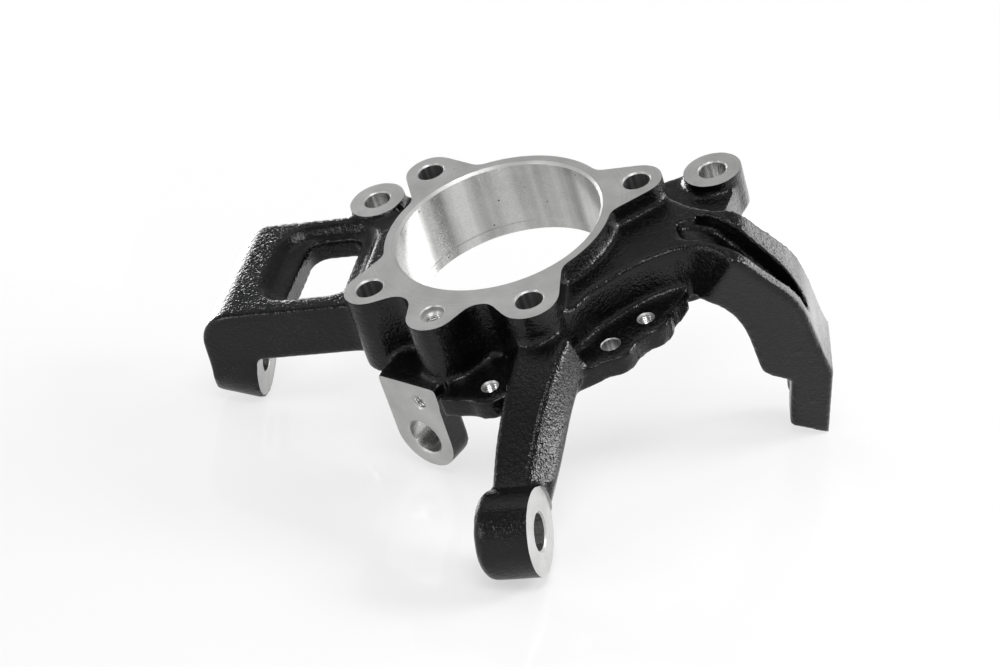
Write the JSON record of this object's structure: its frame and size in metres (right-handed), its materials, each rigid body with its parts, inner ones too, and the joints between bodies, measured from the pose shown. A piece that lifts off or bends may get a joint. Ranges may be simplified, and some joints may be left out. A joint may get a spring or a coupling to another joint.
{
  "type": "steering knuckle",
  "caption": "Cast steering knuckle: bored hub ring with bolt lobes, C-shaped upper arm, windowed lower arm, steering arm with tie rod boss, caliper ears and sensor lug.",
  "frame": {"origin": "centre of the hub bore on the machined outboard face", "axes": "+Z along the bore axis, outboard; +X towards the upper arm; -Y towards the steering arm"},
  "size_m": [0.3049, 0.2577, 0.1406],
  "materials": {
    "cast_body": "gloss black coat on cast skin, bare machined faces"
  },
  "bodies": {
    "root": {"knuckle": "cast_body"}
  },
  "joints": []
}
